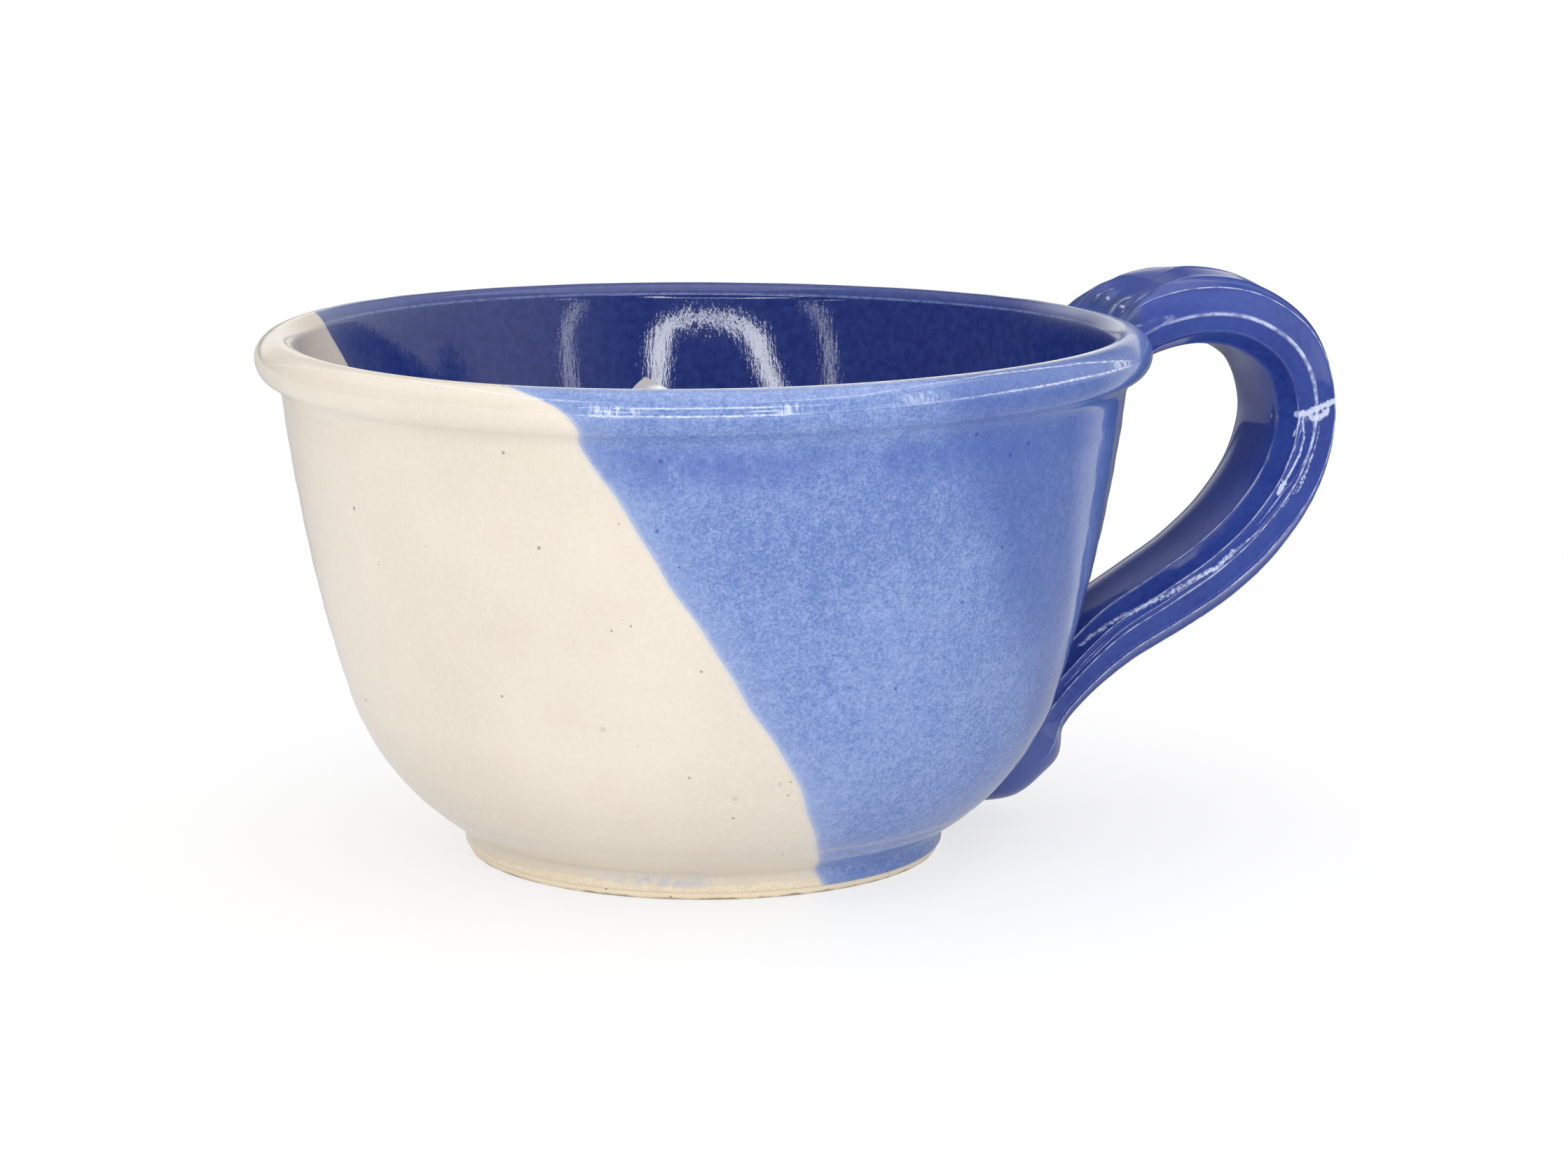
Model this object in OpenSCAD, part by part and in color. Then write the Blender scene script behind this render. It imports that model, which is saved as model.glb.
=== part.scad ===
// Soup mug: a wide thrown stoneware bowl on a trimmed foot, with a pulled strap handle
// and two glazes that meet along a slanting dip line.
// The origin is the centre of the foot on the table, +Z is up and the handle points along +X.

/* [Bowl] */
// Height of the rim's crest above the table
rim_h = 76.5; // [73:0.5:86]
// Radius of the circle along the crest of the rim
crest_r = 61.6; // [58:0.1:66]
// Distance that the rim's crest stands out past the wall at the top of the belly
overhang = 9.6; // [9:0.1:10.3]
// Height where the belly arc meets the upper wall
join_z = 24.5; // [22:0.5:28]
// Lean of the wall's outward normal below level at that height
join_lean = 17.2; // [16.2:0.1:19]
// Radius of the belly's arc on the outside
belly_round = 35.8; // [33:0.1:38]
// Radius of the long arc of the upper wall on the outside
wall_round = 242; // [220:1:300]
// Thickness of the wall at the top of the belly, both coats of glaze included
wall_t = 5.1; // [4.5:0.1:5.8]
// Radius of the belly's arc on the inside
hollow_round = 29.5; // [27:0.1:31]

/* [Rim] */
// Radius of the rolled lip on the outside
lip_round = 3.3; // [2.5:0.1:4]
// Radius of the rolled lip on the inside
lip_in_round = 2.4; // [2:0.1:3.6]
// Radius of the hollow neck between the wall and the lip
neck_round = 3.0; // [2:0.1:4]

/* [Foot] */
// Radius of the foot ring on the outside
foot_r = 35.2; // [32:0.1:38]
// Width of the foot ring
foot_ring_w = 6.0; // [4:0.1:8]
// Depth of the turned recess inside the foot ring
foot_recess = 1.8; // [1:0.1:2.5]
// Width of the slanting break on the foot ring's edges
foot_ease = 0.8; // [0.3:0.1:1.2]
// Radius of the groove between the foot ring and the belly
foot_groove = 1.2; // [0.6:0.1:2]
// Height of the bare clay left at the bottom of the foot ring
bare_h = 1.3; // [1:0.1:2.5]

/* [Glaze] */
// Thickness of a coat of glaze
coat_t = 0.4; // [0.25:0.05:0.6]
// Angle of the dip line's plane from level
dip_tilt = 57.3; // [45:0.1:70]
// Turn of the dip line's plane about the upright axis
dip_turn = 5.5; // [-15:0.5:15]
// Height where the dip line's plane crosses the upright axis
dip_z = 6.3; // [2:0.1:12]
// Height of the pale peak on the inside of the wall
peak_h = 62.2; // [50:0.1:66]
// Direction of the pale peak, turned from the handle
peak_turn = 81; // [60:1:110]
// Half width of the pale peak where it reaches the floor of the bowl
peak_half_w = 15; // [8:1:20]

/* [Handle] */
// Distance that the strap's middle line stands out past the rim's crest
stand_out = 32.6; // [28:0.1:42]
// Height of the strap's middle line over the rim's crest, where it is highest
arch_rise = 0.7; // [-2:0.1:4]
// Width of the strap across the handle near the rim
strap_w = 22.4; // [18:0.1:26]
// Thickness of the strap near the rim
strap_t = 11.7; // [9:0.1:13]
// Depth of the grooves that run along the strap
flute_d = 0.55; // [0.2:0.05:0.9]

/* [Hidden] */
$fn = 96;
// Overrun of every cut past the face it opens
overrun = 1.0;
join_r = crest_r - overhang;
reach = crest_r + stand_out;
arch_h = rim_h + arch_rise;

// Centres of the arcs of the outside wall and of the lip
belly_c = [join_r, join_z] - belly_round * ray(-join_lean);
wall_c = [join_r, join_z] - wall_round * ray(-join_lean);
lip_c = [crest_r, rim_h - lip_round];
lip_in_c = [crest_r, rim_h - lip_in_round];

// Centre of a circle that touches two others from outside, on the right of the line between them
function ray(a) = [cos(a), sin(a)];
function apart(a, b) = norm(b - a);
function unit(a, b) = (b - a) / apart(a, b);
function bearing(a, b) = atan2(b[1] - a[1], b[0] - a[0]);
function along(a, b, ra, rb) = (pow(ra, 2) - pow(rb, 2) + pow(apart(a, b), 2)) / (2 * apart(a, b));
function aside(a, b, ra, rb) = sqrt(pow(ra, 2) - pow(along(a, b, ra, rb), 2));
function below(a, b, ra, rb) = a + unit(a, b) * along(a, b, ra, rb)
    + [unit(a, b)[1], -unit(a, b)[0]] * aside(a, b, ra, rb);
neck_c = below(wall_c, lip_c, wall_round + neck_round, lip_round + neck_round);

// Centres of the hollow's arcs: its wall meets the lip smoothly and thins from the belly up
hollow_wall_r = wall_round - wall_t;
hollow_join = [join_r, join_z] - wall_t * ray(-join_lean);
hollow_wall_c = below(lip_in_c, hollow_join, hollow_wall_r + lip_in_round, hollow_wall_r);
hollow_lean = -bearing(hollow_wall_c, hollow_join);
hollow_c = hollow_join - hollow_round * ray(-hollow_lean);

// Centre of the groove's circle, beside the foot ring and under the belly
groove_dr = foot_r + foot_groove - belly_c[0];
groove_c = [foot_r + foot_groove, belly_c[1] - sqrt(pow(belly_round + foot_groove, 2) - pow(groove_dr, 2))];
foot_in_r = foot_r - foot_ring_w;

// Outline of the bowl from the groove over the rim to the middle of the floor, a skin taken off;
// each arc leaves out its first point, which is where the line before it ends
function arc(c, r, from, to, count) = [for (i = [1 : count]) c + r * ray(from + (to - from) * i / count)];
function outside(skin) = concat(
    [[foot_r - skin, groove_c[1]]],
    arc(groove_c, foot_groove + skin, 180, bearing(groove_c, belly_c), 5),
    arc(belly_c, belly_round - skin, bearing(belly_c, groove_c), -join_lean, 12),
    arc(wall_c, wall_round - skin, -join_lean, bearing(wall_c, neck_c), 10),
    arc(neck_c, neck_round + skin, bearing(neck_c, wall_c), bearing(neck_c, lip_c), 5),
    arc(lip_c, lip_round - skin, bearing(lip_c, neck_c), 90, 12));
function inside(skin) = concat(
    arc(lip_in_c, lip_in_round - skin, 90, 180 + bearing(hollow_wall_c, lip_in_c), 7),
    arc(hollow_wall_c, hollow_wall_r + skin, bearing(hollow_wall_c, lip_in_c), -hollow_lean, 10),
    arc(hollow_c, hollow_round + skin, -hollow_lean, -90, 12),
    [[0, hollow_c[1] - hollow_round - skin]]);

// Bounds for cuts that must clear the whole mug
far_r = reach + crest_r;
far_z = arch_h + strap_t;

// Middle line of the handle, from inside the rim to the foot: its distance past the rim's crest as
// shares of stand_out, and its height as shares of arch_h
spine_out_shares = [-0.263, -0.133, 0.104, 0.387, 0.674, 0.908, 1.0, 0.942, 0.775, 0.555, 0.306,
    0.055, -0.156, -0.298, -0.392, -0.514, -0.647];
spine_rise_shares = [0.835, 0.898, 0.970, 1.0, 0.983, 0.911, 0.793, 0.672, 0.566, 0.484, 0.421,
    0.361, 0.287, 0.217, 0.150, 0.095, 0.062];
// Width and thickness of the handle along that line, as shares of strap_w and strap_t
spine_width_shares = [1.10, 1.08, 1.0, 0.99, 0.97, 0.95, 0.93, 0.92, 0.90, 0.88, 0.86,
    0.83, 0.82, 0.86, 0.92, 0.88, 0.58];
spine_thick_shares = [1.07, 1.03, 1.0, 0.98, 0.97, 0.97, 0.97, 0.98, 0.99, 0.99, 0.96,
    0.90, 0.79, 0.77, 1.14, 1.02, 0.60];
// Number of spans of that line in the root and in the tail, and of rings in each span
root_count = 2;
tail_count = 4;
ring_count = 3;
span_count = len(spine_out_shares) - 1;
strap_end_count = span_count - tail_count;
side_count = 32;
// Roundness of the strap's cross section, less than 1 being squarer than an ellipse
square_share = 0.78;
// Number of grooves and the sector of the cross section that holds them
flute_count = 5;
flute_from_angle = -40;
flute_sweep_angle = 260;

function clampi(i, n) = min(max(i, 0), n - 1);
function at(v, i) = v[clampi(i, len(v))];
function curve(v, i, u) = 0.5 * (2 * at(v, i) + (at(v, i + 1) - at(v, i - 1)) * u
    + (2 * at(v, i - 1) - 5 * at(v, i) + 4 * at(v, i + 1) - at(v, i + 2)) * u * u
    + (3 * at(v, i) - at(v, i - 1) - 3 * at(v, i + 1) + at(v, i + 2)) * u * u * u);
function smooth(v, s) = curve(v, floor(s), s - floor(s));
function spine(s) = [crest_r + stand_out * smooth(spine_out_shares, s), arch_h * smooth(spine_rise_shares, s)];
function heading(s) = unit(spine(s - 1 / ring_count), spine(s + 1 / ring_count));
function outward(s) = [-heading(s)[1], heading(s)[0]];
function power(v, p) = sign(v) * pow(abs(v), p);
function ripple(a) = a < flute_from_angle || a > flute_from_angle + flute_sweep_angle ? 0
    : (1 - cos(360 * flute_count * (a - flute_from_angle) / flute_sweep_angle)) / 2;
function turned(a) = a > 270 ? a - 360 : a;
function across(a, w) = (w / 2 - flute_d * ripple(turned(a))) * power(cos(a), square_share);
function upright(a, t) = (t / 2 - flute_d * ripple(turned(a))) * power(sin(a), square_share);
function ring(s) = [for (k = [0 : side_count - 1])
    let (a = 360 * k / side_count,
         w = strap_w * smooth(spine_width_shares, s),
         t = strap_t * smooth(spine_thick_shares, s),
         p = spine(s) + outward(s) * upright(a, t))
    [p[0], across(a, w), p[1]]];

// Cross section of the clay, with the turned foot, its recess and the room for the coats
module clay_face() {
    polygon(concat(
        [[0, foot_recess], [foot_in_r - foot_ease, foot_recess], [foot_in_r, foot_ease], [foot_in_r + foot_ease, 0],
        [foot_r - coat_t - foot_ease, 0], [foot_r - coat_t, foot_ease]],
        outside(coat_t), inside(coat_t)));
}

// Cross section of the coats, one ring from the foot over the rim to the floor
module coat_face() {
    skin_in = concat([[foot_r - coat_t, bare_h]], outside(coat_t), inside(coat_t));
    skin_out = concat([[foot_r, bare_h]], outside(0), inside(0));
    polygon(concat(skin_out, [for (i = [len(skin_in) - 1 : -1 : 0]) skin_in[i]]));
}

// Solid of the glazed bowl without its hollow, used to trim what is pressed on to it
module bowl_trim() {
    rotate_extrude() polygon(concat([[0, 0], [foot_r, 0]], outside(0), [[0, rim_h]]));
}

// Space inside the bowl and through its inside coat, up to just over the pale peak
module hollow_trim() {
    deep = 2 * coat_t;
    rotate_extrude() intersection() {
        polygon(concat([[0, rim_h], [crest_r - wall_t, rim_h]], [for (p = inside(deep)) if (p[1] < peak_h + wall_t) p]));
        square([far_r, peak_h + overrun]);
    }
}

// Space on the pale side of the dip line, and the pale peak on the inside wall
module pale_space() {
    translate([0, 0, dip_z]) rotate([0, 0, dip_turn]) rotate([0, dip_tilt, 0])
        translate([-far_r, -far_r, -far_r]) cube([2 * far_r, 2 * far_r, far_r]);
    intersection() {
        rotate([0, 0, peak_turn]) rotate([90, 0, 90]) linear_extrude(height = crest_r) peak_face();
        hollow_trim();
    }
}

// Outline of the pale peak, wider on its right
module peak_face() {
    polygon([[-0.80 * peak_half_w, 0], [-0.45 * peak_half_w, 0.84 * peak_h], [-0.14 * peak_half_w, 0.967 * peak_h],
        [-0.04 * peak_half_w, 0.995 * peak_h], [0.04 * peak_half_w, 0.995 * peak_h], [0.26 * peak_half_w, 0.966 * peak_h],
        [0.72 * peak_half_w, 0.84 * peak_h], [1.2 * peak_half_w, 0]]);
}

// Fluted bar along part of the handle's middle line
module bar(from, to) {
    count = (to - from) * ring_count;
    rings = [for (i = [0 : count]) ring(from + i / ring_count)];
    points = [for (r = rings) each r];
    skins = [for (i = [0 : count - 1]) for (k = [0 : side_count - 1])
        let (a = i * side_count + k, b = i * side_count + (k + 1) % side_count)
        for (face = [[a, b, b + side_count], [a, b + side_count, a + side_count]]) face];
    first = [for (k = [0 : side_count - 1]) side_count - 1 - k];
    last = [for (k = [0 : side_count - 1]) count * side_count + k];
    polyhedron(points = points, faces = concat(skins, [first, last]));
}

module clay_bowl() {
    color([0.87, 0.79, 0.67]) rotate_extrude() clay_face();
}

module cream_coat() {
    color([0.93, 0.89, 0.81]) intersection() {
        rotate_extrude() coat_face();
        pale_space();
    }
}

module blue_coat() {
    color([0.42, 0.54, 0.82]) difference() {
        rotate_extrude() coat_face();
        pale_space();
    }
}

module handle_strap() {
    color([0.22, 0.31, 0.64]) bar(root_count, strap_end_count);
}

module handle_root() {
    color([0.24, 0.33, 0.66]) difference() {
        bar(0, root_count);
        bowl_trim();
    }
}

module handle_tail() {
    color([0.24, 0.33, 0.66]) difference() {
        bar(strap_end_count, span_count);
        bowl_trim();
    }
}

clay_bowl();
cream_coat();
blue_coat();
handle_strap();
handle_root();
handle_tail();
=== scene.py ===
import math

import bpy
import numpy as np
from mathutils import Matrix, Vector


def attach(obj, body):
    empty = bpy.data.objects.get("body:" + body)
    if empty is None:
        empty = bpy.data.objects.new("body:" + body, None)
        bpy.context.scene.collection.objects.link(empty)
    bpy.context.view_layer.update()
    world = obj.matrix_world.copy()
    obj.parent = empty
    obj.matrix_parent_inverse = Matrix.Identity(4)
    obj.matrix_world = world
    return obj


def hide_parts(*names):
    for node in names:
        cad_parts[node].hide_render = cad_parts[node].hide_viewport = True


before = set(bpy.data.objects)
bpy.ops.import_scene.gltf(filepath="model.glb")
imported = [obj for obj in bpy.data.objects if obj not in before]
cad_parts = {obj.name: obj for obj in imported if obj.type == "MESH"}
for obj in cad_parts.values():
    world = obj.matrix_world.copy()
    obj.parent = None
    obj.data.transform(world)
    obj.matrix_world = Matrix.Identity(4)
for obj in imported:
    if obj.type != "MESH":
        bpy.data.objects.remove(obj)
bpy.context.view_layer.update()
METRE = 1000.0   # in millimetres, the unit of every shape below
MM = 1 / METRE
FULL = 2 * math.pi
HANDLE_TURN = math.radians(20.0)   # the handle stands this far behind the photograph's right


# The bowl's line, the same arcs as the part's

RIM_H = 76.5
CREST_R = 61.6
JOIN = np.array([52.0, 24.5])   # where the belly's arc runs into the wall's
LEAN = math.radians(17.2)
BELLY_R = 35.8
WALL_R = 242.0
WALL_T = 5.1
HOLLOW_R = 29.5
LIP_R = 3.3
LIP_IN_R = 2.4
NECK_R = 3.0
FOOT_R = 35.2
FOOT_RING = 6.0
FOOT_EASE = 0.9   # how far the inside of the foot ring rounds over
RECESS = 1.8
GROOVE_R = 1.2
BARE_H = 1.3
COAT_T = 0.4


def ray(a):
    """The direction at an angle."""
    return np.array([math.cos(a), math.sin(a)])


def bearing(a, b):
    """The angle of the way from a to b."""
    return math.atan2(b[1] - a[1], b[0] - a[0])


def touching(a, b, ra, rb):
    """Centre of the circle ra from a and rb from b, on the right of the line from a to b."""
    d = np.linalg.norm(b - a)
    u = (b - a) / d
    x = (ra ** 2 - rb ** 2 + d ** 2) / (2 * d)
    return a + u * x + np.array([u[1], -u[0]]) * math.sqrt(ra ** 2 - x ** 2)


BELLY_C = JOIN - BELLY_R * ray(-LEAN)
WALL_C = JOIN - WALL_R * ray(-LEAN)
LIP_C = np.array([CREST_R, RIM_H - LIP_R])
LIP_IN_C = np.array([CREST_R, RIM_H - LIP_IN_R])
NECK_C = touching(WALL_C, LIP_C, WALL_R + NECK_R, LIP_R + NECK_R)
INNER_R = WALL_R - WALL_T
INNER_JOIN = JOIN - WALL_T * ray(-LEAN)
INNER_C = touching(LIP_IN_C, INNER_JOIN, INNER_R + LIP_IN_R, INNER_R)
INNER_LEAN = -bearing(INNER_C, INNER_JOIN)
HOLLOW_C = INNER_JOIN - HOLLOW_R * ray(-INNER_LEAN)
GROOVE_X = FOOT_R + GROOVE_R
GROOVE_DROP = math.sqrt((BELLY_R + GROOVE_R) ** 2 - (GROOVE_X - BELLY_C[0]) ** 2)
GROOVE_C = np.array([GROOVE_X, BELLY_C[1] - GROOVE_DROP])


def arc(centre, r, a, b):
    """Points on an arc of radius r from the angle a to the angle b, a twentieth of a millimetre apart."""
    t = np.linspace(a, b, max(4, int(abs(b - a) * r / 0.05)))
    return np.stack([centre[0] + r * np.cos(t), centre[1] + r * np.sin(t)], 1)


def foot_line(skin):
    """The foot's part of the outline. Under a skin it is the bare clay, from the middle of the recess over
    the eased ring; with none it is the lower edge of the coat, turned in to the clay."""
    if skin == 0:
        return [(FOOT_R - COAT_T - 0.02, BARE_H - 0.15), (FOOT_R - 0.22, BARE_H - 0.12),
                (FOOT_R - 0.06, BARE_H + 0.05), (FOOT_R, BARE_H + 0.3)]
    ring, edge = FOOT_R - FOOT_RING, FOOT_R - skin
    return [(0.0, RECESS), (ring - FOOT_EASE, RECESS), (ring - 0.1, 1.0),
            (ring + 0.5, 0.2), (ring + FOOT_EASE, 0.0), (edge - 1.0, 0.0),
            (edge - 0.35, 0.15), (edge - 0.05, 0.6), (edge, 1.2)]


def bowl_line(skin, spacing=0.6):
    """Outline of the bowl in (radius, height) from the foot ring over the rim to the axis, with a skin taken
    off: arcs end to end, resampled at an even spacing, a quarter as long on the lip and the groove."""
    low = HOLLOW_C[1] - HOLLOW_R - skin
    line = np.vstack([
        foot_line(skin),
        arc(GROOVE_C, GROOVE_R + skin, math.pi, bearing(GROOVE_C, BELLY_C)),
        arc(BELLY_C, BELLY_R - skin, bearing(BELLY_C, GROOVE_C), -LEAN),
        arc(WALL_C, WALL_R - skin, -LEAN, bearing(WALL_C, NECK_C)),
        arc(NECK_C, NECK_R + skin, bearing(NECK_C, WALL_C), bearing(NECK_C, LIP_C)),
        arc(LIP_C, LIP_R - skin, bearing(LIP_C, NECK_C), math.pi / 2),
        arc(LIP_IN_C, LIP_IN_R - skin, math.pi / 2, math.pi + bearing(INNER_C, LIP_IN_C)),
        arc(INNER_C, INNER_R + skin, bearing(INNER_C, LIP_IN_C), -INNER_LEAN),
        arc(HOLLOW_C, HOLLOW_R + skin, -INNER_LEAN, -math.pi / 2),
        np.stack([np.linspace(HOLLOW_C[0], 0.0, 200), np.full(200, low)], 1)])
    length = np.linalg.norm(np.diff(line, axis=0), axis=1)
    fine = (line[:, 1] > 63) | ((line[:, 1] < 6) & (line[:, 0] > 28))
    cost = np.r_[0, np.cumsum(length * np.where(fine[1:], 1 / (0.4 * spacing), 1 / (1.6 * spacing)))]
    s = np.linspace(0, cost[-1], int(cost[-1]) + 2)
    return np.stack([np.interp(s, cost, line[:, 0]), np.interp(s, cost, line[:, 1])], 1)


def length_along(line):
    """Length of a line up to each of its points."""
    return np.r_[0, np.cumsum(np.linalg.norm(np.diff(line, axis=0), axis=1))]


def line_normals(line):
    """Left-hand normals of a line's points, which face away from the clay."""
    t = np.gradient(line, axis=0)
    t /= np.linalg.norm(t, axis=1)[:, None] + 1e-12
    return np.stack([t[:, 1], -t[:, 0]], 1)


# Hand-made unevenness

def waves(seed, count, shortest, longest):
    """A fixed set of random plane waves, as (wave vectors, phases), for smooth noise."""
    g = np.random.default_rng(seed)
    k = g.normal(size=(count, 3))
    k /= np.linalg.norm(k, axis=1)[:, None]
    return k * (FULL / g.uniform(shortest, longest, count))[:, None], g.uniform(0, FULL, count)


def wobble(p, w):
    """Mean of the plane waves w at the points p, between -1 and 1."""
    k, phase = w
    return np.sin(p @ k.T + phase).mean(-1) * math.sqrt(len(phase)) / 1.6


BROAD = waves(3, 14, 35, 90)
SMALL = waves(8, 20, 6, 16)
BROAD_RELIEF = 0.13
SMALL_RELIEF = 0.030
RING_RELIEF, RING_SPACING = 0.030, 6.8   # the throwing rings
FINE_RELIEF, FINE_SPACING = 0.018, 3.1   # and finer ones among them
TRIM_H, TRIM_DEPTH = 7.9, 0.10   # the turning tool's line over the foot


def step(x, low, high):
    """0 below low, 1 above high, smooth between."""
    t = np.clip((x - low) / (high - low), 0, 1)
    return t * t * (3 - 2 * t)


def between(x, rise, fall):
    """1 between two places, smooth over the two numbers of the rise and over the two of the fall."""
    return step(x, *rise) * (1 - step(x, *fall))


def bell(x, middle, width):
    """1 at the middle, fading both ways over the width."""
    return np.exp(-((x - middle) / width) ** 2)


def thrown(line, turn):
    """Places a line of (radius, height) round the wheel's axis at the angles in turn (row by row) and makes
    it hand thrown: faint throwing rings outside, a soft wobble of the wall, a rim a little out of level."""
    n = line_normals(line)
    r0, z0 = line[:, :1], line[:, 1:]
    outer = np.clip(0.5 + 2.5 * n[:, :1], 0, 1)
    rings = RING_RELIEF * np.sin(FULL * z0 / RING_SPACING + 0.6 * np.sin(turn + 0.6))
    rings = rings + FINE_RELIEF * np.sin(FULL * z0 / FINE_SPACING + turn)
    rings = rings * np.clip((z0 - 9) / 8, 0, 1) * np.clip((70 - z0) / 5, 0, 1) * outer
    p = np.stack([r0 * np.cos(turn), r0 * np.sin(turn), z0 + 0 * turn], -1)
    soft = BROAD_RELIEF * wobble(p, BROAD) + SMALL_RELIEF * outer * wobble(p, SMALL)
    soft = soft * np.clip((z0 - 4) / 10, 0, 1)
    h = (rings + soft * (0.25 + 0.75 * outer)) * np.clip(r0 / 12, 0, 1)
    trim = -TRIM_DEPTH * bell(z0, TRIM_H, 0.45) * outer
    r, z = r0 + n[:, :1] * (h + trim), z0 + n[:, 1:] * (h + trim)
    a = turn + HANDLE_TURN
    tilt = 0.40 * np.cos(a) + 0.14 * np.cos(2 * a) - 0.30 * np.sin(2 * a)
    tilt = tilt - 0.15 * np.sin(a) * (1 + np.sin(a))
    return np.stack([r * np.cos(turn), r * np.sin(turn), z + tilt * np.clip(z0 / RIM_H, 0, 1) ** 2], -1)


# Meshes

def piece(name, pts, material, ring=False, pole=False, caps=False, fields=None):
    """A grid of points (rows, columns, xyz in mm) as a smooth mesh. ring joins the last column to the first,
    pole draws the last row together into one vertex, caps closes the first and last rows with fans. fields
    are named point values."""
    rows, cols = pts.shape[:2]
    flat = pts.reshape(-1, 3)
    values = {field: np.broadcast_to(v, (rows, cols)).reshape(-1) for field, v in (fields or {}).items()}
    around = np.arange(cols if ring else cols - 1)
    i, j = np.meshgrid(np.arange(rows - 1 - pole), around, indexing="ij")
    k = (j + 1) % cols
    quads = np.stack([i * cols + j, i * cols + k, (i + 1) * cols + k, (i + 1) * cols + j], -1).reshape(-1, 4)
    tris = [np.zeros((0, 3), int)]
    if pole:
        kept = (rows - 1) * cols
        flat = np.vstack([flat[:kept], flat[kept:].mean(0)])
        values = {field: np.r_[v[:kept], v[kept:].mean()] for field, v in values.items()}
        above = kept - cols
        tris.append(np.stack([above + around, above + (around + 1) % cols, np.full(len(around), kept)], 1))
    if caps:
        for row, forward in ((0, False), (rows - 1, True)):
            first = row * cols
            a = first + np.arange(cols)
            b = first + (np.arange(cols) + 1) % cols
            middle = np.full(cols, len(flat))
            flat = np.vstack([flat, pts[row].mean(0)])
            values = {field: np.r_[v, v[first:first + cols].mean()] for field, v in values.items()}
            tris.append(np.stack([a, b, middle] if forward else [b, a, middle], 1))
    tri = np.vstack(tris)
    me = bpy.data.meshes.new(name)
    me.vertices.add(len(flat))
    me.vertices.foreach_set("co", (flat * MM).ravel())
    me.loops.add(quads.size + tri.size)
    me.loops.foreach_set("vertex_index", np.r_[quads.ravel(), tri.ravel()])
    me.polygons.add(len(quads) + len(tri))
    starts = np.r_[np.arange(len(quads)) * 4, quads.size + np.arange(len(tri)) * 3]
    me.polygons.foreach_set("loop_start", starts)
    me.polygons.foreach_set("loop_total", np.r_[np.full(len(quads), 4), np.full(len(tri), 3)])
    me.update(calc_edges=True)
    me.polygons.foreach_set("use_smooth", np.ones(len(me.polygons), bool))
    for field, v in values.items():
        me.attributes.new(field, "FLOAT", "POINT").data.foreach_set("value", v.astype(float))
    me.materials.append(material)
    me.validate()
    ob = bpy.data.objects.new(name, me)
    bpy.context.collection.objects.link(ob)
    return ob


# Shader maths

class Shading:
    """A tree of shader nodes being drawn up."""

    def __init__(self, tree):
        self.tree = tree

    def plug(self, socket, v):
        """Links a value to a socket, or sets the socket to a number or a tuple. A colour may leave out its
        alpha."""
        if isinstance(v, Value):
            self.tree.links.new(v.socket, socket)
        else:
            socket.default_value = (*v, 1.0) if socket.type == "RGBA" and len(v) == 3 else v

    def node(self, kind, out=0, settings=None, sockets=None):
        """A new node: its settings first, then the values or links of its sockets, which are named or
        numbered. It comes back as one of its outputs."""
        n = self.tree.nodes.new(kind)
        for key, v in (settings or {}).items():
            setattr(n, key, v)
        for key, v in (sockets or {}).items():
            self.plug(n.inputs[key], v)
        return Value(self, n.outputs[out])

    def parts(self, vector):
        """The x, y and z of a vector."""
        x = self.node("ShaderNodeSeparateXYZ", "X", sockets={"Vector": vector})
        return x, x.beside("Y"), x.beside("Z")

    def rays(self):
        """1 for what the camera sees straight, and 1 for what it sees in a shiny surface."""
        straight = self.node("ShaderNodeLightPath", "Is Camera Ray")
        return straight, straight.beside("Is Glossy Ray")

    def rightward_and_back(self, x, y):
        """Parts of a direction or place to the photograph's right and away from its camera."""
        c, s = math.cos(HANDLE_TURN), math.sin(HANDLE_TURN)
        return x * c - y * s, x * s + y * c


class Value:
    """A shader socket that can be added, multiplied and compared like a number."""

    def __init__(self, shading, socket):
        self.shading, self.socket = shading, socket

    def beside(self, name):
        """Another output of the same node."""
        return Value(self.shading, self.socket.node.outputs[name])

    def math(self, operation, *others):
        sockets = dict(enumerate((self,) + others))
        return self.shading.node("ShaderNodeMath", settings={"operation": operation}, sockets=sockets)

    def __add__(self, o):
        return self.math("ADD", o)

    def __mul__(self, o):
        return self.math("MULTIPLY", o)

    def __sub__(self, o):
        return self.math("SUBTRACT", o)

    def __rsub__(self, o):
        return (self * -1.0) + o

    def __pow__(self, o):
        return self.math("POWER", o)

    __radd__, __rmul__ = __add__, __mul__

    def ramp(self, low, high):
        """0 below low, 1 above high, smooth between."""
        sockets = dict(enumerate((self, low, high, 0.0, 1.0)))
        return self.shading.node("ShaderNodeMapRange", 0, {"interpolation_type": "SMOOTHSTEP"}, sockets)


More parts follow.
